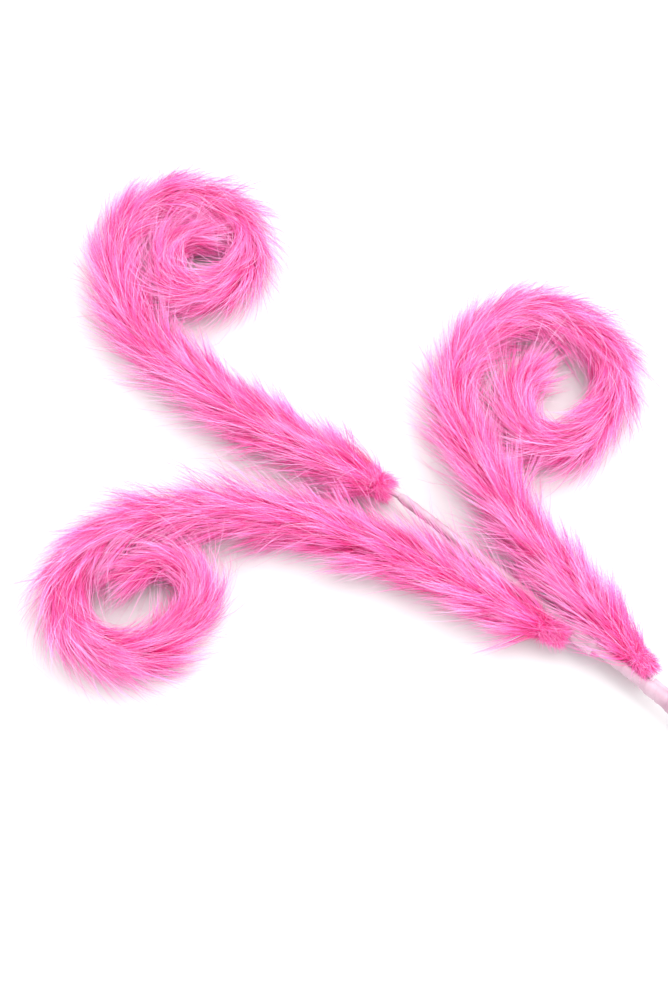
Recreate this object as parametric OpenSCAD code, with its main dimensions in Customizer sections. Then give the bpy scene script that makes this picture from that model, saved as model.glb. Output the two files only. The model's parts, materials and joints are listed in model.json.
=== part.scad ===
// Faux-fur curl spray: three wired fur tails, each curled into a flat spiral, on one taped stem.
// It lies flat on a table. The stem runs along Y with its free end at -Y, and Z is up.

/* [Stem] */
// Length of the stem, from its free end to the bend of the first tail
stem_len = 474; // [300:1:600]
// Radius of the stem below the third tail, where every wire is taped in
stem_r = 4.7; // [4.5:0.1:5.2]
// Radius of the stem between the second and third tails
mid_r = 2.8; // [2.7:0.1:2.8]
// Radius of the stem between the first and second tails
upper_r = 2.4; // [2:0.1:2.6]
// Radius of the bare branch wires
wire_r = 0.8; // [0.6:0.05:0.8]
// Radius of the stiffening rod in the stem
rod_r = 1.2; // [0.8:0.1:1.3]

/* [Fur] */
// Radius of a tail where its fur is thickest, and the height of its axis over the table
fur_r = 12.5; // [11:0.5:13]
// Radius of a tail where its fur starts
foot_r = 5.4; // [4.8:0.1:5.6]
// Length over which the foot of a tail swells to its full radius
swell_len = 50; // [44:1:60]
// Gap between the fur of two links, which closes on its outer side as the curl opens
link_gap = 4; // [3.9:0.1:6]

/* [Details] */
// Radius of the paper-covered branch between the stem and a tail
branch_r = 1.7; // [1.5:0.1:1.7]
// Radius of the glue bead in the foot of a tail
bead_r = 3.5; // [3:0.1:3.8]
// Radius of the glue dab at the tip of a tail
dab_r = 3; // [2:0.1:3.5]
// Radius of the thin binding wire
binding_r = 0.3; // [0.2:0.05:0.35]
// Turns in each binding
binding_turns = 3; // [2:1:4]

/* [Hidden] */
$fn = 48;

// A link of a tail is [length of its arc, how far it bends in degrees, radius of its fur].
LINKS_1 = [
    [86, 9, fur_r], [68, 44, fur_r], [58, 86, fur_r - 0.5],
    [54, 88, fur_r - 1], [54, 122, fur_r - 2.5], [44, 150, fur_r - 5]
];
LINKS_2 = [
    [58, 6, fur_r], [118, 32, fur_r], [60, 62, fur_r],
    [48, 94, fur_r - 0.5], [54, 76, fur_r - 1.5], [50, 145, fur_r - 3.5]
];
LINKS_3 = [
    [58, 6, fur_r], [60, 16, fur_r], [62, 75, fur_r],
    [62, 84, fur_r - 0.5], [66, 96, fur_r - 1.5], [64, 160, fur_r - 3.5]
];

// A tail is [bend at the stem, foot of the fur, first heading, turn, links]. The two points are measured
// from the stem's head end. A heading turns from +Y towards -X, and turn is 1 where the tail curls that
// way and -1 where it curls the other way.
TAILS = [
    [[0, -10], [-2, 1.5], 10, -1, LINKS_1],
    [[-4.5, -129], [-9, -117], 11, 1, LINKS_2],
    [[4.9, -178], [9, -166], -11, -1, LINKS_3]
];
LAST = len(LINKS_1) - 1;

// Place of the head end in the row frame, with the origin under the middle of the whole spray
head_x = 14.8;
head_y = 130.76;
// The stem and every tail share one axis height
axis_z = fur_r;

// How far the stem's tape stops short of the bend of a branch
bend_gap = 2.2;
// Ends of the stem's three tape windings, measured from the head end
free_y = TAILS[0][0][1] - stem_len;
lower_y = -194;
mid_y = TAILS[1][0][1] - bend_gap;
upper_y = TAILS[0][0][1] - bend_gap;
// Distance of the second and third wires from the first, beside it, and of the rod, under it
side_x = 2 * wire_r + 0.1;
rod_drop = wire_r + rod_r + 0.2;
// Length of a junction wrap, its radius, and the radius and offset of the bump where the branch leaves
wrap_len = 13.8;
wrap_r = 3.9;
bump_r = 2.4;
bump_x = 3.8;
// Groove under a junction wrap for its binding: where it starts, and its radius
groove_start = 2;
groove_r = 3.55;
// Spacing of the rings in a binding, and their distance from the tape
binding_pitch = 1.2;
binding_gap = 0.08;
// Length of bare branch between the bend and the folded strip end, and the fold's radius at its two ends
bare_len = 4;
fold_small_r = 2.4;
fold_big_r = 5;
// How far past the centre of a foot its fur starts, which leaves room for the tail to lift
foot_clear = 4.2;
// Hairline seam between the straight and the bent length of a first link
seam = 0.05;
// Gap between the ends of two wires, and between the glue bead and the first wire
wire_gap = 0.5;
// How far ahead of the end of the last link the glue dab is centred, and how far the wire stops short
// of that end
dab_lead = 1;
dab_short = 3;

function fur_name(t, k) = str("tail_", t + 1, "_fur_", k + 1);
function wire_name(t, k) = str("tail_", t + 1, "_wire_", k + 1);
function tail_name(t, part) = str("tail_", t + 1, "_", part);

TAIL_PARTS = ["branch", "glue_bead", "base_fold", "tip_glue"];

// ---- the path of a tail ----

// A pose on the path is [x, y, heading].
function heading(h) = [-sin(h), cos(h)];
function leftward(h) = [-cos(h), -sin(h)];
function ahead(pose, d) = let (p = [pose[0], pose[1]] + d * heading(pose[2])) [p[0], p[1], pose[2]];
function arc_r(link) = link[0] * 180 / (PI * link[1]);
function arc_centre(pose, link, turn) = [pose[0], pose[1]] + turn * arc_r(link) * leftward(pose[2]);
function arc_end(pose, link, turn) =
    let (h = pose[2] + turn * link[1], p = arc_centre(pose, link, turn) - turn * arc_r(link) * leftward(h))
    [p[0], p[1], h];
function foot_pose(t) = [TAILS[t][1][0], TAILS[t][1][1], TAILS[t][2]];

// Where the arc of link k starts: the first one comes after the straight swell
function link_start(t, k) =
    k == 0 ? ahead(foot_pose(t), swell_len) : arc_end(link_start(t, k - 1), TAILS[t][4][k - 1], TAILS[t][3]);
function link_end(t, k) = arc_end(link_start(t, k), TAILS[t][4][k], TAILS[t][3]);
// The degrees of the arc of a link that a length takes up
function degrees(link, d) = d * link[1] / link[0];

// ---- shared shapes ----

module in_frame() translate([head_x, head_y, axis_z]) children();

// A round bar along the stem, from y0 to y1
module along_stem(x, z, r, y0, y1) translate([x, y0, z]) rotate([-90, 0, 0]) cylinder(r = r, h = y1 - y0);

// A round bar along a heading from a pose, tapering from r0 to r1
module bar(pose, len, r0, r1)
    translate([pose[0], pose[1], 0]) rotate([-90, 0, pose[2]]) cylinder(r1 = r0, r2 = r1, h = len);

// A round bar bent along the arc of a link, leaving out some degrees at each end
module bent_bar(pose, link, turn, r, skip = 0, stop = 0) {
    c = arc_centre(pose, link, turn);
    start = turn > 0 ? pose[2] + skip : pose[2] + 180 - link[1] + stop;
    translate([c[0], c[1], 0]) rotate([0, 0, start])
        rotate_extrude(angle = link[1] - skip - stop, $fn = 72) translate([arc_r(link), 0]) circle(r = r);
}

module ball(pose, r) translate([pose[0], pose[1], 0]) sphere(r = r);

// ---- stem ----

function side(t) = sign(TAILS[t][0][0]);
function wrap_end(t) = TAILS[t][0][1] - bend_gap;

module stem_rod() color("silver") in_frame()
    along_stem(0, -rod_drop, rod_r, free_y, lower_y);

// Branch wire t in the stem, from the free end to where it bends out
module stem_wire(t) color("silver") in_frame()
    along_stem(side(t) * side_x, 0, wire_r, free_y, wrap_end(t));

module stem_tape(r, y0, y1) color("mistyrose") difference() {
    in_frame() along_stem(0, 0, r, y0, y1);
    stem_rod();
    for (t = [0:2]) stem_wire(t);
}

module stem_tape_lower() stem_tape(stem_r, free_y, lower_y);
module stem_tape_mid() stem_tape(mid_r, lower_y, mid_y);
module stem_tape_upper() stem_tape(upper_r, mid_y, upper_y);

// Rings of thin wire that hold the branch to the stem, under the wrap
module binding_wire(t) color("darkgray") in_frame()
    for (i = [0:binding_turns - 1])
        translate([0, wrap_end(t) - wrap_len + groove_start + (i + 0.5) * binding_pitch, 0])
            rotate([-90, 0, 0]) rotate_extrude()
                translate([mid_r + binding_gap + binding_r, 0]) circle(r = binding_r, $fn = 16);

// Tape wound over the binding, with the bump where the branch bends out
module junction_wrap(t) color("mistyrose") in_frame() difference() {
    start = wrap_end(t) - wrap_len;
    groove_end = start + groove_start + binding_turns * binding_pitch;
    union() {
        along_stem(0, 0, wrap_r, start, wrap_end(t));
        along_stem(side(t) * bump_x, 0, bump_r, start, wrap_end(t));
    }
    along_stem(0, 0, mid_r, start - 1, wrap_end(t) + 1);
    along_stem(0, 0, groove_r, start + groove_start, groove_end);
}

// ---- foot of a tail ----

function bend_pose(t) =
    let (p = TAILS[t][0], d = TAILS[t][1] - p) [p[0], p[1], atan2(-d[0], d[1])];
function branch_len(t) = norm(TAILS[t][1] - TAILS[t][0]);

// The paper-covered branch, from the bend into the glue bead
module branch(t) color("mistyrose") in_frame()
    bar(bend_pose(t), branch_len(t), branch_r, branch_r);

module glue_bead(t) color("ivory") difference() {
    in_frame() ball(foot_pose(t), bead_r);
    branch(t);
}

// The end of the fur strip, folded over and wound round the branch and the glue bead
module base_fold(t) color("deeppink") in_frame() difference() {
    bar(ahead(bend_pose(t), bare_len), branch_len(t) - bare_len, fold_small_r, fold_big_r);
    bar(bend_pose(t), branch_len(t), branch_r, branch_r);
    bar(ahead(bend_pose(t), branch_len(t) - bead_r), bead_r + 1, bead_r, bead_r);
}

// ---- links of a tail ----

// The wire in link k, from just past its joint to its far end
module link_wire(t, k) color("silver") in_frame() {
    link = TAILS[t][4][k];
    stop = k == LAST ? degrees(link, dab_short) : 0;
    if (k == 0) {
        start = bead_r + wire_gap;
        bar(ahead(foot_pose(t), start), swell_len - start - seam, wire_r, wire_r);
        bent_bar(link_start(t, k), link, TAILS[t][3], wire_r, 0, stop);
    } else {
        bent_bar(link_start(t, k), link, TAILS[t][3], wire_r, degrees(link, wire_gap), stop);
    }
}

// The glue dab that seals the cut end of the strip
module tip_glue(t) color("ivory") in_frame() ball(ahead(link_end(t, LAST), dab_lead), dab_r);

// The straight fur at the foot of a tail, which swells up to the arc of the first link
module fur_swell(t) difference() {
    bar(ahead(foot_pose(t), foot_clear), swell_len - foot_clear - seam, foot_r, TAILS[t][4][0][2]);
    bar(foot_pose(t), swell_len + 1, wire_r, wire_r);
}

// The fur of link k, with a tunnel in its backing for the wire. The last one is hollowed at its far end
// for the glue dab.
module fur_link(t, k) color("hotpink") in_frame() {
    link = TAILS[t][4][k];
    skip = k == 0 ? 0 : degrees(link, link_gap);
    if (k == 0) fur_swell(t);
    difference() {
        bent_bar(link_start(t, k), link, TAILS[t][3], link[2], skip);
        bent_bar(link_start(t, k), link, TAILS[t][3], wire_r, skip - 1, -1);
        if (k == LAST) ball(ahead(link_end(t, k), dab_lead), dab_r);
    }
}

stem_rod();
stem_wire(0);  // stem_wire_1
stem_wire(1);  // stem_wire_2
stem_wire(2);  // stem_wire_3
stem_tape_lower();
stem_tape_mid();
stem_tape_upper();
junction_wrap(1);  // junction_wrap_2
junction_wrap(2);  // junction_wrap_3
binding_wire(1);  // binding_wire_2
binding_wire(2);  // binding_wire_3
for (t = [0:2]) {
    branch(t);
    glue_bead(t);
    base_fold(t);
    tip_glue(t);
    for (k = [0:LAST]) {
        fur_link(t, k);
        link_wire(t, k);
    }
}
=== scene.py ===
"""Looks of the faux-fur curl spray: strands of pile on three curled tails, and wound paper tape on the stem.

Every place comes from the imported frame: the tails' centrelines run through their joints, and the radii
are the nodes' own.
"""

import json
import math

import bpy
import numpy as np
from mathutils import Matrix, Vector


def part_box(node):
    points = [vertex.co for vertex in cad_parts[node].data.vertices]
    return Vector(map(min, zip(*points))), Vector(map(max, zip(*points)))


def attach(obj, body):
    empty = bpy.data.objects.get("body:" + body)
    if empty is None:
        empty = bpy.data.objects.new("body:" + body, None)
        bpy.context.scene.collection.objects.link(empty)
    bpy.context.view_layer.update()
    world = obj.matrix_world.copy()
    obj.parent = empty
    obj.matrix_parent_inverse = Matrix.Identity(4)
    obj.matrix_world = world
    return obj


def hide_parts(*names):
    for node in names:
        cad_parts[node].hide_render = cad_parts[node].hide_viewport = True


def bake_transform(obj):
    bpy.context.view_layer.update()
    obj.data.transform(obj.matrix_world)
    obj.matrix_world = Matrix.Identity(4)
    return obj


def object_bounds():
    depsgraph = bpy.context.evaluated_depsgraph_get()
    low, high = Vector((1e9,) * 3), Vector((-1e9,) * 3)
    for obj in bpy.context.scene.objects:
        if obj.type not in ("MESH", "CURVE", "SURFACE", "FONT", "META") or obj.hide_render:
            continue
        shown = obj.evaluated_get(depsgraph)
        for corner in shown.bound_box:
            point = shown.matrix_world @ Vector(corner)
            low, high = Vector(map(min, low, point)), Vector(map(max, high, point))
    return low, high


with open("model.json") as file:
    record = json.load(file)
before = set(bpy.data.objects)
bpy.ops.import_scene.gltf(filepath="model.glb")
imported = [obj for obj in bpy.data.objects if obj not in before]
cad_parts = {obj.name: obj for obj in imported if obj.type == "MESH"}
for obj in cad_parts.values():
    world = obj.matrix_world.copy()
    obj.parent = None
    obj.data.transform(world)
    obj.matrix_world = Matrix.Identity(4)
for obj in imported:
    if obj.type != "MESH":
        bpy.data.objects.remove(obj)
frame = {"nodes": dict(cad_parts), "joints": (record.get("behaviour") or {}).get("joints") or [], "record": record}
CAD_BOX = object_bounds()

MM = 0.001
TAU = 2 * math.pi
JOINTS = {j["name"]: j for j in frame["joints"]}
LINKS = 6
# Length of the straight swell at the foot of a tail
SWELL = 50 * MM
STEP = 1 * MM
AXIS_Z = JOINTS["tail_1_lift"]["pos_m"][2]
FLOOR_Z = CAD_BOX[0].z


# ---- centrelines ----


class Path:
    """The centreline of a tail: points, headings and fur radii against the distance from its foot."""

    def __init__(self, number):
        self.number = number
        lift = JOINTS[f"tail_{number}_lift"]
        foot = np.array(lift["pos_m"][:2])
        branch = foot - np.array(JOINTS[f"tail_{number}_splay"]["pos_m"][:2])
        self.branch = branch / np.linalg.norm(branch)
        theta = math.atan2(lift["axis"][0], -lift["axis"][1])
        start = foot + SWELL * np.array([math.cos(theta), math.sin(theta)])
        names = [f"tail_{number}_curl"] + [f"tail_{number}_curl_{k}" for k in range(2, LINKS)]
        knots = [start] + [np.array(JOINTS[n]["pos_m"][:2]) for n in names]
        tip = sum(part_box(f"tail_{number}_tip_glue"), Vector()) / 2
        knots.append(np.array(tip[:2]))

        count = round(SWELL / STEP)
        f = np.arange(count) / count
        xy = [foot + np.outer(f, start - foot)]
        angle = [np.full(count, theta)]
        dist = [f * SWELL]
        reached = SWELL
        ends = []
        for p, q in zip(knots[:-1], knots[1:]):
            chord = q - p
            turn = math.atan2(chord[1], chord[0]) - theta
            turn = 2 * ((turn + math.pi) % TAU - math.pi)
            length = np.linalg.norm(chord) * (turn / 2) / math.sin(turn / 2)
            count = round(length / STEP)
            f = np.arange(count) / count
            radius = length / turn
            reach = 2 * radius * np.sin(turn * f / 2)
            toward = theta + turn * f / 2
            xy.append(p + reach[:, None] * np.stack([np.cos(toward), np.sin(toward)], 1))
            angle.append(theta + turn * f)
            dist.append(reached + f * length)
            reached += length
            theta += turn
            ends.append(reached)
        self.xy = np.concatenate(xy + [knots[-1][None]])
        self.angle = np.concatenate(angle + [[theta]])
        self.dist = np.concatenate(dist + [[reached]])
        self.length = reached
        self.turn = np.sign(self.angle[-1] - self.angle[0])
        starts = [0.0] + ends[:-1]
        self.mids = [(a + b) / 2 for a, b in zip(starts, ends)]
        self.mids[0] = (SWELL + ends[0]) / 2
        radii = [self.node_radius(k) for k in range(1, LINKS + 1)]
        foot_r = 0.5 * (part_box(f"tail_{number}_base_fold")[1].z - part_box(f"tail_{number}_base_fold")[0].z)
        self.r_knots = [0.0, SWELL] + self.mids[1:] + [self.length]
        self.r_values = [foot_r, radii[0]] + radii[1:] + [radii[-1] * 0.8]

    def node_radius(self, k):
        lo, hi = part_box(f"tail_{self.number}_fur_{k}")
        return (hi.z - lo.z) / 2

    def at(self, s):
        """Points and headings at distances s, along the branch before the foot and straight on past the tip."""
        x = np.interp(s, self.dist, self.xy[:, 0])
        y = np.interp(s, self.dist, self.xy[:, 1])
        theta = np.interp(s, self.dist, self.angle)
        before, past = np.minimum(s, 0), np.maximum(s - self.length, 0)
        x = x + before * self.branch[0] + past * np.cos(theta)
        y = y + before * self.branch[1] + past * np.sin(theta)
        return np.stack([x, y], -1), theta

    def radius(self, s):
        return np.interp(s, self.r_knots, self.r_values)

    def point(self, s):
        xy, _ = self.at(np.array([s]))
        return (float(xy[0, 0]), float(xy[0, 1]), AXIS_Z)


def axes(theta, phi):
    """Along the tail, outward at phi, and round the tail, as unit vectors.

    Phi runs from the tail's left side over its top.
    """
    c, s = np.cos(theta), np.sin(theta)
    cp, sp = np.cos(phi), np.sin(phi)
    zero = np.zeros_like(c)
    along = np.stack([c, s, zero], -1)
    out = np.stack([-s * cp, c * cp, sp], -1)
    round_ = np.stack([s * sp, -c * sp, cp], -1)
    return along, out, round_


def unit(v):
    return v / np.maximum(np.linalg.norm(v, axis=-1, keepdims=True), 1e-12)


# ---- meshes ----


class Soup:
    """Vertices, faces and UVs gathered for one mesh. U tells strands apart and V runs from root to tip."""

    def __init__(self):
        self.co, self.index, self.start, self.uv = [], [], [], []
        self.n_co = self.n_loop = 0

    def add(self, co, faces, uv):
        """Faces is a list of (n, k) index arrays, and uv has a row for each vertex."""
        self.co.append(co)
        for f in faces:
            k = f.shape[1]
            self.index.append((f + self.n_co).ravel())
            self.start.append(self.n_loop + k * np.arange(len(f)))
            self.uv.append(uv[f.ravel()])
            self.n_loop += f.size
        self.n_co += len(co)

    def build(self, name):
        mesh = bpy.data.meshes.new(name)
        co = np.concatenate(self.co).astype(np.float32)
        index = np.concatenate(self.index).astype(np.int32)
        start = np.concatenate(self.start).astype(np.int32)
        mesh.vertices.add(len(co))
        mesh.vertices.foreach_set("co", co.ravel())
        mesh.loops.add(len(index))
        mesh.loops.foreach_set("vertex_index", index)
        mesh.polygons.add(len(start))
        mesh.polygons.foreach_set("loop_start", start)
        mesh.polygons.foreach_set("use_smooth", np.ones(len(start), bool))
        layer = mesh.uv_layers.new(name="OFBake")
        layer.data.foreach_set("uv", np.concatenate(self.uv).astype(np.float32).ravel())
        mesh.update(calc_edges=True)
        mesh.validate()
        obj = bpy.data.objects.new(name, mesh)
        bpy.context.scene.collection.objects.link(obj)
        return obj


def add_ribbons(soup, points, width, normal, u, v0, v1):
    """Tapered ribbons along points (n, m, 3), each facing along its normal and ending in a point."""
    n, m, _ = points.shape
    t = np.linspace(0, 1, m)
    d = points[:, 1:] - points[:, :-1]
    side = unit(np.cross(d, normal[:, None, :]))
    taper = (1 - t[:-1] ** 2.2) * 0.92 + 0.08
    half = 0.5 * width[:, None, None] * taper[None, :, None]
    ring = np.stack([points[:, :-1] - side * half, points[:, :-1] + side * half], 2)
    co = np.concatenate([ring.reshape(n, -1, 3), points[:, -1:]], 1)
    k = co.shape[1]
    base = (k * np.arange(n))[:, None, None]
    j = 2 * np.arange(m - 2)
    quad = np.stack([j, j + 1, j + 3, j + 2], 1)[None] + base
    tri = np.array([[k - 3, k - 2, k - 1]])[None] + base
    v_ring = np.repeat(t[:-1], 2)
    v = v0[:, None] + (v1 - v0)[:, None] * np.concatenate([v_ring, [1.0]])[None]
    uv = np.stack([np.repeat(u[:, None], k, 1), v], -1)
    soup.add(co.reshape(-1, 3), [quad.reshape(-1, 4), tri.reshape(-1, 3)], uv.reshape(-1, 2))


def add_tube(soup, path, s0, s1, core, sides=18):
    """The strip's backing between two distances, as a closed tube."""
    s = np.linspace(s0, s1, max(3, round((s1 - s0) / CORE_RING)))
    phi = np.arange(sides) * TAU / sides
    xy, theta = path.at(s)
    grid_t, grid_p = np.meshgrid(theta, phi, indexing="ij")
    _, out, _ = axes(grid_t, grid_p)
    r = core(s)[:, None] * (1 + CORE_RIPPLE * np.sin(3 * grid_p + 90 * s[:, None]))
    centre = np.concatenate([xy, np.full((len(s), 1), AXIS_Z)], 1)
    co = centre[:, None, :] + out * r[..., None]
    co[..., 2] = np.maximum(co[..., 2], FLOOR_Z + CORE_GAP)
    rows = len(s)
    a = np.arange(rows - 1)[:, None] * sides + np.arange(sides)[None]
    b = np.arange(rows - 1)[:, None] * sides + (np.arange(sides)[None] + 1) % sides
    quad = np.stack([a, b, b + sides, a + sides], -1).reshape(-1, 4)
    caps = np.concatenate([centre[:1], centre[-1:]])
    first, last = rows * sides, rows * sides + 1
    ring = np.arange(sides)
    nxt = (ring + 1) % sides
    low = np.stack([nxt, ring, np.full(sides, first)], 1)
    high = np.stack([ring + (rows - 1) * sides, nxt + (rows - 1) * sides, np.full(sides, last)], 1)
    # The backing takes the darkest root colour of the hair ramp: painted shade deep in the pile
    uv = np.stack([np.full(rows * sides + 2, 0.5), np.full(rows * sides + 2, 0.01)], 1)
    soup.add(np.concatenate([co.reshape(-1, 3), caps]), [quad, low, high], uv)


# ---- pile ----

# How far the fur strip moves on in one turn round its wire, and the radius of a full tail
STRIP_PITCH = 28 * MM
FULL_R = 12.5 * MM
# The backing: how far one length runs into the next, the spacing of its rings, and its unevenness
CORE_OVERLAP = 0.5 * MM
CORE_RING = 2.5 * MM
CORE_RIPPLE = 0.06
# How near the backing and the hairs come to the table, and the height at which growing hairs turn along it
CORE_GAP = 0.5 * MM
TABLE_GAP = 0.4 * MM
GROW_GAP = 0.6 * MM
# How far hairs may stand above the CAD model and past its sides
ROOM_ABOVE = 7 * MM
ROOM_BESIDE = (15 * MM, 18 * MM)


def wrap_phase(s, phi):
    """Where a root lies across the wound strip, from 0 at one edge to 1 at the next."""
    return (s / STRIP_PITCH + phi / TAU) % 1.0


# Where the hood of folded fur starts on each tail's branch, and where its last hairs are rooted
HOOD_START = {1: -2 * MM, 2: -9 * MM, 3: -7 * MM}
HOOD_END = 4 * MM
# Two distances on the branch by the hood, whose points are looked up but not used
HOOD_BEND = (-1 * MM, 7 * MM)


def core_radius(path):
    """The radius of the wound backing, which is thick at the folded foot and thin under the long pile."""
    tip = path.length
    knots = [HOOD_START[path.number], 1 * MM, 8 * MM, 45 * MM, 0.6 * tip, tip - 3 * MM, tip]
    values = [2.4 * MM, 4.2 * MM, 5.2 * MM, 5.0 * MM, 4.6 * MM, 3.4 * MM, 1.6 * MM]
    return lambda s: np.interp(s, knots, values)


def grow(path, core, s, phi, length, lift0, lift1, yaw, follow, droop, segments):
    """Polylines of hairs from the backing.

    Each leaves it at lift0 degrees and lies down to lift1 by its tip, turned by yaw from the way the
    tail runs. Follow is how far it keeps to the tail's own bend, and droop is how far it sinks.
    """
    xy, theta0 = path.at(s)
    _, out, _ = axes(theta0, phi)
    pos = np.concatenate([xy, np.full((len(s), 1), AXIS_Z)], 1) + out * core(s)[:, None]
    line = [pos]
    step = length / segments
    advanced = np.zeros_like(s)
    for i in range(segments):
        t = (i + 0.5) / segments
        _, theta_here = path.at(s + advanced)
        theta = theta0 + follow * (theta_here - theta0)
        along, out, round_ = axes(theta, phi)
        lift = np.radians(lift0 + (lift1 - lift0) * t**0.6)
        d = np.cos(lift)[:, None] * (np.cos(yaw)[:, None] * along + np.sin(yaw)[:, None] * round_)
        d = d + np.sin(lift)[:, None] * out
        d[:, 2] -= droop * t
        d = unit(d)
        pos = pos + d * step[:, None]
        low = FLOOR_Z + GROW_GAP
        pos[:, 2] = np.where(pos[:, 2] < low, low + 0.15 * (low - pos[:, 2]), pos[:, 2])
        advanced = advanced + step * np.cos(lift)
        line.append(pos)
    return np.stack(line, 1)


def sample(line, t):
    """Points at share t along polylines (n, m, 3), with t as (n, k)."""
    m = line.shape[1] - 1
    x = np.clip(t, 0, 1) * m
    i = np.minimum(x.astype(int), m - 1)
    f = (x - i)[..., None]
    rows = np.arange(len(line))[:, None]
    return line[rows, i] * (1 - f) + line[rows, i + 1] * f


def curl_side(path, phi):
    """1 on the inner side of the curl, -1 on the outer side, and 0 on top."""
    return np.cos(phi) * path.turn


def add_locks(rng, path, core, per_mm, hairs, segments=5):
    """Locks of long hairs whose tips draw together, laid over each other from the foot to the tip.

    Like the other kinds of hair, they come as distances from the foot, tones, polylines and outward
    directions.
    """
    n = int(path.length / MM * per_mm)
    s = rng.uniform(-1 * MM, path.length, n)
    phi = rng.uniform(0, TAU, n)
    # Fewer underneath, and fewer along the middle of the strip
    keep = rng.uniform(0, 1, n) < 0.72 + 0.28 * np.sin(phi)
    keep &= rng.uniform(0, 1, n) < 0.78 + 0.22 * np.cos(TAU * wrap_phase(s, phi))
    s, phi = s[keep], phi[keep]
    n = len(s)
    # The pile is shaggier near the foot, and leans in slow waves elsewhere
    inner = curl_side(path, phi)
    near_foot = np.clip(1 - s / (140 * MM), 0, 1)
    swing = np.sin(s / (6.1 * MM) + 2 * phi) + np.sin(s / (11.3 * MM) - phi)
    scale = path.radius(s) / FULL_R
    length = np.clip(rng.normal(29, 8, n), 12, 46) * MM * (0.45 + 0.55 * np.maximum(scale, 0.8))
    ruffle = np.sin(TAU * wrap_phase(s, phi))
    lift0 = 31 + 6 * ruffle + 5 * swing + 8 * near_foot + rng.normal(0, 8, n) * (1 + 0.5 * near_foot)
    lift1 = 1 + 4 * ruffle + 4 * swing + 7 * near_foot + rng.normal(0, 11, n)
    yaw = np.radians(rng.normal(0, 15, n) + 5 + 5 * swing)
    follow = np.clip(0.88 + 0.08 * inner + rng.normal(0, 0.08, n), 0.3, 1.0)
    droop = 0.12 + 0.1 * rng.uniform(0, 1, n)
    guide = grow(path, core, s, phi, length, lift0, lift1, yaw, follow, droop, 8)

    # Each lock's hairs start round its guide, gather towards it, and differ in length
    m = rng.poisson(hairs, n) + 4
    lock = np.repeat(np.arange(n), m)
    k = len(lock)
    hs = s[lock] + rng.normal(0, 2.0, k) * MM
    hphi = phi[lock] + rng.normal(0, 1.9, k) * MM / core(s)[lock]
    xy, theta = path.at(hs)
    _, out, _ = axes(theta, hphi)
    root = np.concatenate([xy, np.full((k, 1), AXIS_Z)], 1) + out * (core(hs) - 0.5 * MM)[:, None]
    offset = root - guide[lock, 0]
    share = np.clip(rng.normal(0.94, 0.2, k), 0.35, 1.35)
    t = np.linspace(0, 1, segments + 1)
    line = sample(guide[lock], t[None] * np.minimum(share, 1)[:, None])
    gather = np.clip(rng.normal(0.38, 0.28, k), -0.4, 0.95)
    pull = 1 - gather[:, None] * t[None] ** 0.75
    # Some stray from it, and all of them wave a little
    stray = rng.normal(0, 1, (k, 3)) * (1.9 * MM) * np.abs(rng.normal(0.5, 0.8, k))[:, None]
    wave = rng.normal(0, 1, (k, 3)) * 0.5 * MM
    turn = rng.uniform(0, TAU, k)
    sway = np.sin(turn[:, None] + t[None] * 5.5) - np.sin(turn)[:, None]
    line = line + offset[:, None] * pull[..., None] + stray[:, None] * (t**1.6)[None, :, None]
    line = line + wave[:, None] * sway[..., None]
    over = np.maximum(share - 1, 0)
    line = line + (line[:, -1] - line[:, -2])[:, None] * (over[:, None] * segments * t[None] ** 3)[..., None]
    tone = (0.62 * rng.uniform(0, 1, n) + 0.11 * swing)[lock] + 0.3 * rng.uniform(0, 1, k)
    return hs, np.clip(tone, 0, 1), line, out


def keep_in_box(line):
    """Holds hairs above the table and inside the room that fabric may take round the CAD model."""
    low = FLOOR_Z + TABLE_GAP
    z = line[..., 2]
    soft = 1.5 * MM
    line[..., 2] = np.where(z < low + soft, low + soft * np.exp((z - low - soft) / soft), z)
    top = CAD_BOX[1].z + ROOM_ABOVE
    z = line[..., 2]
    line[..., 2] = np.where(z > top, top + 2 * MM * (1 - np.exp((top - z) / (4 * MM))), z)
    for a, room in enumerate(ROOM_BESIDE):
        lo, hi = CAD_BOX[0][a] - room, CAD_BOX[1][a] + room
        line[..., a] = np.clip(line[..., a], lo, hi)
    return line


def facing(rng, out, spread):
    """Directions near the outward ones, turned at random, so that ribbons catch the light differently."""
    return unit(out + rng.normal(0, spread, out.shape))


def single_hairs(rng, path, s, phi, line):
    """The rows of hairs that each have a tone of their own."""
    _, theta = path.at(s)
    _, out, _ = axes(theta, phi)
    return s, rng.uniform(0, 1, len(s)), line, out


def add_underfur(rng, path, core, per_mm, segments=3):
    """Short dense hairs that fill the pile near the backing."""
    n = int(path.length / MM * per_mm)
    s = rng.uniform(-2 * MM, path.length, n)
    phi = rng.uniform(0, TAU, n)
    scale = path.radius(s) / FULL_R
    length = rng.normal(10, 2.2, n) * MM * (0.5 + 0.5 * scale) * np.clip(0.6 + s / (60 * MM), 0.6, 1)
    lift0 = rng.normal(50, 12, n)
    lift1 = rng.normal(12, 12, n)
    yaw = np.radians(rng.normal(0, 25, n))
    line = grow(path, core, s, phi, length, lift0, lift1, yaw, np.full(n, 0.9), np.full(n, 0.1), segments)
    return single_hairs(rng, path, s, phi, line)


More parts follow.
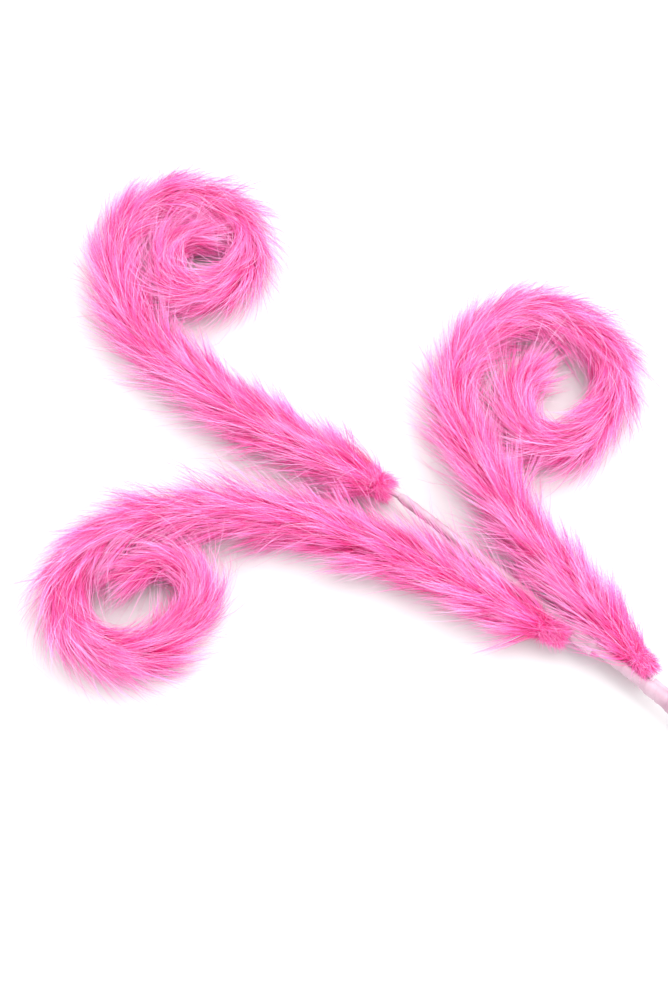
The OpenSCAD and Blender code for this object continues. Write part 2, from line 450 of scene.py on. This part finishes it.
def add_flyaways(rng, path, core, per_mm, segments=7):
    """Long single hairs that cross over the tail and stand off it, mostly on the outer side of the curl."""
    n = int(path.length / MM * per_mm)
    s = rng.uniform(-1 * MM, path.length, n)
    phi = rng.uniform(0, TAU, n)
    inner = curl_side(path, phi)
    keep = (rng.uniform(0, 1, n) < 0.55 - 0.25 * inner) & (np.sin(phi) > -0.6)
    s, phi, inner = s[keep], phi[keep], inner[keep]
    n = len(s)
    length = rng.normal(34, 7, n) * MM * (1 - 0.2 * inner)
    lift0 = rng.normal(46, 10, n)
    lift1 = rng.normal(12, 12, n) - 6 * inner
    yaw = np.radians(rng.normal(0, 26, n))
    follow = np.clip(rng.normal(0.7, 0.2, n) + 0.15 * inner, 0.1, 1)
    line = grow(path, core, s, phi, length, lift0, lift1, yaw, follow, np.full(n, 0.2), segments)
    return single_hairs(rng, path, s, phi, line)


def add_wisps(rng, path, core, side, count, hairs, segments=8):
    """Thin wisps of long hairs that leave one side of the curl, 1 for its inner side, at a tangent."""
    s = np.repeat(rng.uniform(3 * MM, path.length - 8 * MM, count), hairs)
    n = len(s)
    each = np.arange(n) // hairs
    phi = math.pi * (side * path.turn < 0) + side * path.turn * rng.uniform(-0.7, 1.1, count)[each]
    length = np.clip(rng.normal(45, 9, count), 26, 62)[each] * MM * rng.uniform(0.5, 1.0, n)
    lift0 = rng.normal(44, 11, count)[each] + rng.normal(0, 6, n)
    lift1 = rng.normal(18, 13, count)[each] + rng.normal(0, 7, n)
    yaw = np.radians(rng.normal(0, 18, count)[each] + rng.normal(0, 8, n))
    follow = np.clip(rng.normal(0.5, 0.18, count), 0.1, 0.9)[each]
    s = s + rng.normal(0, 2.2, n) * MM
    phi = phi + rng.normal(0, 0.2, n)
    line = grow(path, core, s, phi, length, lift0, lift1, yaw, follow, np.full(n, 0.12), segments)
    return single_hairs(rng, path, s, phi, line)


def add_hood(rng, path, core, n, segments=4):
    """Short fuzzy hairs of the folded strip end, which lean back over the branch and out to its sides."""
    s = rng.uniform(HOOD_START[path.number], 6 * MM, n)
    phi = rng.uniform(0, TAU, n)
    length = rng.normal(8, 1.8, n) * MM
    lift0 = rng.normal(50, 14, n)
    lift1 = rng.normal(4, 16, n)
    back = rng.uniform(0, 1, n) < 0.42 - 0.07 * s / MM
    yaw = np.where(back, math.pi, 0) + rng.normal(0, 0.6, n)
    flat = np.zeros(n)
    line = grow(path, core, s, phi, length, lift0, lift1, yaw, flat, flat + 0.15, segments)
    return single_hairs(rng, path, s, phi, line)


PILE_SEED = 40
UNDERFUR_PER_MM = 42
LOCKS_PER_MM, HAIRS_PER_LOCK = 8.5, 13
FLYAWAYS_PER_MM = 6.0
# The side, number and hairs of the wisps on the outer and on the inner side of the curl
OUTER_WISPS, INNER_WISPS = (-1, 330, 6), (1, 110, 7)
HOOD_HAIRS = 4800


def pile(path, seed, material):
    """The pieces of pile on one tail: a hood on its foot, and lengths that are split halfway along each link.

    The first length goes with the first link and the last with the last link; the hood and the lengths between
    stay where they are made.
    """
    rng = np.random.default_rng(seed)
    number = path.number
    core = core_radius(path)
    cuts = np.array([HOOD_END] + path.mids)
    edges = [HOOD_START[number]] + list(cuts) + [path.length]
    soups = [Soup() for _ in edges[1:]]
    for k, soup in enumerate(soups):
        overlap = CORE_OVERLAP if k <= LINKS else 0
        add_tube(soup, path, edges[k], edges[k + 1] + overlap, core)

    def share_out(grown, width, v0, v1, spread):
        """Puts hairs in the piece their roots are in, with v0 at their roots and a V from v1 at their tips."""
        s, tone, line, out = grown
        n = len(s)
        line = keep_in_box(line)
        normal = facing(rng, out, spread)
        wide = rng.uniform(*width, n) * MM
        root, tip = np.full(n, v0), rng.uniform(*v1, n)
        group = np.searchsorted(cuts, s)
        for k, soup in enumerate(soups):
            pick = group == k
            if pick.any():
                add_ribbons(soup, line[pick], wide[pick], normal[pick], tone[pick], root[pick], tip[pick])

    # Where each kind of hair starts and ends on the ramp of painted shade and painted glow: the underfur and hood
    # stay near the shaded roots, and the flyaways and wisps start halfway up it, so they are painted pale all
    # along
    underfur = add_underfur(rng, path, core, UNDERFUR_PER_MM)
    share_out(underfur, width=(0.3, 0.5), v0=0.02, v1=(0.35, 0.6), spread=0.5)
    locks = add_locks(rng, path, core, LOCKS_PER_MM, HAIRS_PER_LOCK)
    share_out(locks, width=(0.18, 0.36), v0=0.05, v1=(0.6, 1.0), spread=0.6)
    flyaways = add_flyaways(rng, path, core, FLYAWAYS_PER_MM)
    share_out(flyaways, width=(0.15, 0.26), v0=0.5, v1=(0.9, 1.0), spread=0.7)
    outer = add_wisps(rng, path, core, *OUTER_WISPS)
    share_out(outer, width=(0.18, 0.32), v0=0.4, v1=(0.85, 1.0), spread=0.7)
    inner = add_wisps(rng, path, core, *INNER_WISPS)
    share_out(inner, width=(0.15, 0.26), v0=0.4, v1=(0.7, 1.0), spread=0.7)
    hood = add_hood(rng, path, core, HOOD_HAIRS)
    share_out(hood, width=(0.16, 0.3), v0=0.08, v1=(0.5, 0.95), spread=0.7)

    links = [f"tail_{number}_link_{k}" for k in range(1, LINKS + 1)]
    for k, soup in enumerate(soups):
        obj = soup.build(f"tail_{number}_pile_{k}" if k else f"tail_{number}_hood")
        obj.data.materials.append(material)
        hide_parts(f"tail_{number}_fur_{min(k, LINKS)}" if k else f"tail_{number}_base_fold")
        if k == 0:
            bend_from, bend_to = HOOD_BEND
            path.point(bend_from)
            path.point(bend_to)
            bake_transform(obj)
        elif k in (1, LINKS + 1):
            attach(obj, links[min(k, LINKS) - 1])
        else:
            path.point(cuts[k - 1])
            path.point(cuts[k])
            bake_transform(obj)


# ---- stem tape ----

# How far the tape moves on in one turn, and how far it, its overlaps and its crinkles stand off the CAD tape
TAPE_PITCH = 7.5 * MM
TAPE_LIFT = 0.12 * MM
TAPE_EDGE = 0.3 * MM
TAPE_CRINKLE = 0.16 * MM
CRINKLES = 9
# The radius that the tape narrows to at the first tail's branch
BRANCH_R = 1.7 * MM
# The spacing of the tape's rows, and how far the rod and the wires show past its cut end
TAPE_ROW = 0.5 * MM
CUT_END = 0.3 * MM


def stem_profile():
    """Distances along the stem and the tape's radius there, from the boxes of the CAD windings and wraps."""
    rows = []
    for name in ("stem_tape_lower", "stem_tape_mid", "stem_tape_upper"):
        lo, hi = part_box(name)
        rows.append((lo.y, hi.y, (hi.x - lo.x) / 2))
    (y0, y1, r_low), (_, _, r_mid), (_, y3, r_top) = rows
    knots = [y0, y1 - 2 * MM, y1 + 6 * MM]
    values = [r_low, r_low, r_mid]
    for name, r_next in (("junction_wrap_3", r_mid), ("junction_wrap_2", r_top)):
        lo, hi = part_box(name)
        r_wrap = (hi.z - lo.z) / 2
        keep = [i for i, y in enumerate(knots) if y < lo.y - 1 * MM]
        knots, values = [knots[i] for i in keep], [values[i] for i in keep]
        knots += [lo.y - 0.9 * MM, lo.y + 2.5 * MM, hi.y - 1 * MM, hi.y + 5 * MM]
        values += [values[-1], r_wrap, r_wrap, r_next]
    knots += [y3 - 1 * MM, JOINTS["tail_1_splay"]["pos_m"][1]]
    values += [r_top, BRANCH_R]
    return np.array(knots), np.array(values)


def stem_skin(material, sides=40):
    """The wound tape with its overlaps and crinkles, closed at the head and cut square at the free end."""
    rng = np.random.default_rng(7)
    knots, values = stem_profile()
    centre_x = sum(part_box("stem_tape_lower"), Vector()).x / 2
    y = np.arange(knots[0] + CUT_END, knots[-1], TAPE_ROW)
    phi = np.arange(sides) * TAU / sides
    r = np.interp(y, knots, values)
    r = np.convolve(np.pad(r, 3, mode="edge"), np.ones(7) / 7, mode="valid")
    phase = (y[:, None] / TAPE_PITCH + phi[None] / TAU) % 1.0
    edge = TAPE_EDGE * np.clip(phase * 1.15, 0, 1) ** 0.7
    crinkle = np.zeros_like(phase)
    for _ in range(CRINKLES):
        along, around, shift = rng.uniform(600, 3200), rng.integers(-5, 6), rng.uniform(0, TAU)
        crinkle += np.sin(along * y[:, None] + around * phi[None] + shift) / CRINKLES
    radius = r[:, None] + TAPE_LIFT + edge + TAPE_CRINKLE * crinkle
    co = np.stack([
        centre_x + radius * np.cos(phi)[None],
        np.broadcast_to(y[:, None], radius.shape),
        AXIS_Z + radius * np.sin(phi)[None],
    ], -1)
    rows = len(y)
    ring, nxt = np.arange(sides), (np.arange(sides) + 1) % sides
    a = np.arange(rows - 1)[:, None] * sides
    quad = np.stack([a + ring, a + sides + ring, a + sides + nxt, a + nxt], -1).reshape(-1, 4)
    ends = np.array([[centre_x, y[0], AXIS_Z], [centre_x, y[-1] + TAPE_ROW, AXIS_Z]])
    low = np.stack([ring, nxt, np.full(sides, rows * sides)], 1)
    last = (rows - 1) * sides
    high = np.stack([nxt + last, ring + last, np.full(sides, rows * sides + 1)], 1)
    uv = np.stack([np.concatenate([phase.ravel(), [0.5, 0.5]]), np.zeros(rows * sides + 2)], 1)
    soup = Soup()
    soup.add(np.concatenate([co.reshape(-1, 3), ends]), [quad, low, high], uv)
    obj = soup.build("stem_tape_skin")
    obj.data.materials.append(material)
    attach(obj, "stem")
    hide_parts("stem_tape_lower", "stem_tape_mid", "stem_tape_upper")


# ---- materials ----


class Nodes:
    """A Principled material and a few helpers to wire its nodes."""

    def __init__(self, name, **constants):
        self.material = bpy.data.materials.new(name)
        self.material.use_nodes = True
        self.tree = self.material.node_tree
        self.shader = self.tree.nodes["Principled BSDF"]
        for key, value in constants.items():
            self.shader.inputs[key.replace("_", " ")].default_value = value

    def node(self, kind, **settings):
        made = self.tree.nodes.new(kind)
        for key, value in settings.items():
            setattr(made, key, value)
        return made

    def link(self, a, b):
        self.tree.links.new(a, b)

    def set(self, name, socket):
        self.link(socket, self.shader.inputs[name])

    def ramp(self, factor, stops):
        made = self.node("ShaderNodeValToRGB")
        elements = made.color_ramp.elements
        while len(elements) < len(stops):
            elements.new(0.5)
        for element, (at, color) in zip(elements, stops):
            element.position = at
            element.color = (*color, 1)
        self.link(factor, made.inputs["Fac"])
        return made.outputs["Color"]

    def mix(self, mode, factor, a, b):
        made = self.node("ShaderNodeMix", data_type="RGBA", blend_type=mode)
        made.inputs["Factor"].default_value = factor
        self.link(a, made.inputs["A"])
        self.link(b, made.inputs["B"])
        return made.outputs["Result"]

    def noise(self, coordinates, scale, detail=3.0):
        made = self.node("ShaderNodeTexNoise")
        made.inputs["Scale"].default_value = scale
        made.inputs["Detail"].default_value = detail
        self.link(coordinates, made.inputs["Vector"])
        return made.outputs["Fac"]

    def bump(self, height, strength, distance):
        made = self.node("ShaderNodeBump")
        made.inputs["Strength"].default_value = strength
        made.inputs["Distance"].default_value = distance
        self.link(height, made.inputs["Height"])
        self.set("Normal", made.outputs["Normal"])


def fur_material():
    m = Nodes("pile", IOR=1.36)
    uv = m.node("ShaderNodeUVMap", uv_map="OFBake")
    split = m.node("ShaderNodeSeparateXYZ")
    m.link(uv.outputs["UV"], split.inputs["Vector"])
    # Painted shade and painted glow: the hairs are deep magenta at their roots, standing for the shade down in the
    # pile, and pale near-white at their tips, standing for light shining through them
    along = m.ramp(split.outputs["Y"], [
        (0.0, (0.80, 0.004, 0.15)),
        (0.18, (0.91, 0.03, 0.30)),
        (0.42, (0.97, 0.20, 0.57)),
        (0.75, (1.0, 0.50, 0.82)),
        (1.0, (1.0, 0.80, 0.96)),
    ])
    strand = m.ramp(split.outputs["X"], [
        (0.0, (0.80, 0.16, 0.42)),
        (0.25, (0.93, 0.42, 0.68)),
        (0.55, (0.99, 0.78, 0.91)),
        (1.0, (1.0, 1.0, 1.0)),
    ])
    m.set("Roughness", m.ramp(split.outputs["X"], [(0.0, (0.36, 0.36, 0.36)), (1.0, (0.5, 0.5, 0.5))]))
    m.set("Base Color", m.mix("MULTIPLY", 1.0, along, strand))
    return m.material


def paper_material():
    m = Nodes("paper_tape", Roughness=0.38, IOR=1.5)
    where = m.node("ShaderNodeTexCoord").outputs["Object"]
    fine = m.noise(where, 900.0, 4.0)
    broad = m.noise(where, 70.0, 2.0)
    base = m.ramp(broad, [(0.3, (0.43, 0.25, 0.33)), (0.5, (0.49, 0.31, 0.39)), (0.7, (0.56, 0.39, 0.47))])
    grain = m.ramp(fine, [(0.3, (0.93, 0.93, 0.93)), (0.7, (1, 1, 1))])
    m.set("Base Color", m.mix("MULTIPLY", 1.0, base, grain))
    m.set("Roughness", m.ramp(fine, [(0.3, (0.34, 0.34, 0.34)), (0.7, (0.5, 0.5, 0.5))]))
    m.bump(fine, 0.35, 0.0002)
    return m.material


def wire_material():
    m = Nodes("steel_wire", Metallic=1.0)
    where = m.node("ShaderNodeTexCoord").outputs["Object"]
    fine = m.noise(where, 1500.0, 2.0)
    m.set("Base Color", m.ramp(fine, [(0.3, (0.42, 0.42, 0.44)), (0.7, (0.62, 0.62, 0.64))]))
    m.set("Roughness", m.ramp(fine, [(0.3, (0.25, 0.25, 0.25)), (0.7, (0.45, 0.45, 0.45))]))
    m.bump(fine, 0.2, 0.0001)
    return m.material


def glue_material():
    m = Nodes("hot_glue", IOR=1.48)
    where = m.node("ShaderNodeTexCoord").outputs["Object"]
    broad = m.noise(where, 400.0, 2.0)
    m.set("Base Color", m.ramp(broad, [(0.3, (0.80, 0.66, 0.62)), (0.7, (0.90, 0.80, 0.76))]))
    m.set("Roughness", m.ramp(broad, [(0.3, (0.2, 0.2, 0.2)), (0.7, (0.35, 0.35, 0.35))]))
    m.bump(broad, 0.3, 0.0004)
    return m.material


def floor_material():
    m = Nodes("table", Roughness=0.6)
    where = m.node("ShaderNodeTexCoord").outputs["Object"]
    broad = m.noise(where, 2.0, 2.0)
    m.set("Base Color", m.ramp(broad, [(0.3, (0.70, 0.695, 0.70)), (0.7, (0.72, 0.72, 0.72))]))
    return m.material


BY_SLOT = {
    "fur": fur_material(),
    "paper_tape": paper_material(),
    "steel_wire": wire_material(),
    "hot_glue": glue_material(),
}
for row in frame["record"]["subparts"]:
    node = frame["nodes"][row["node"]]
    node.data.materials.clear()
    node.data.materials.append(BY_SLOT[row["material_slot"]])

for tail in (1, 2, 3):
    pile(Path(tail), PILE_SEED + tail, BY_SLOT["fur"])
stem_skin(BY_SLOT["paper_tape"])

# ---- floor, light and camera ----

FLOOR_SIZE = 6
FLOOR_DROP = 0.2 * MM
bpy.ops.mesh.primitive_plane_add(size=FLOOR_SIZE, location=(0, 0, FLOOR_Z - FLOOR_DROP))
floor = bpy.context.object
floor.name = "floor"
floor.data.materials.append(floor_material())

scene = bpy.context.scene
scene.view_settings.view_transform = "Standard"
world = bpy.data.worlds.new("studio")
scene.world = world
world.use_nodes = True
world.node_tree.nodes["Background"].inputs["Color"].default_value = (1.0, 1.0, 1.0, 1)
world.node_tree.nodes["Background"].inputs["Strength"].default_value = 1.5

AZIMUTH, ELEVATION = math.radians(-50.6), math.radians(70)
DISTANCE, LENS = 1.5, 98.2
RIGHT = Vector((math.cos(AZIMUTH), math.sin(AZIMUTH), 0))
AHEAD = Vector((-math.sin(AZIMUTH), math.cos(AZIMUTH), 0))
LOOK = AHEAD * math.cos(ELEVATION) - Vector((0, 0, math.sin(ELEVATION)))
# The view is centred to the side of the stem's head, between the tails
VIEW_ASIDE, VIEW_BEYOND = -20.9 * MM, 29.1 * MM
head = Vector(JOINTS["tail_1_splay"]["pos_m"])
target = Vector((head.x + VIEW_ASIDE, head.y + VIEW_BEYOND, FLOOR_Z))

camera = bpy.data.objects.new("camera", bpy.data.cameras.new("camera"))
scene.collection.objects.link(camera)
camera.data.lens = LENS
camera.data.clip_end = 20
camera.location = target - LOOK * DISTANCE
camera.rotation_euler = LOOK.to_track_quat("-Z", "Y").to_euler()
scene.camera = camera


def soft_light(name, toward, height, size, power):
    """A square area light above the table, to one side of the view, facing its centre."""
    light = bpy.data.objects.new(name, bpy.data.lights.new(name, "AREA"))
    scene.collection.objects.link(light)
    light.data.size = size
    light.data.energy = power
    light.location = target + toward + Vector((0, 0, height))
    light.rotation_euler = (target - light.location).to_track_quat("-Z", "Y").to_euler()


soft_light("key", RIGHT * 0.9 + AHEAD * 0.8, 1.6, 2.1, 44)
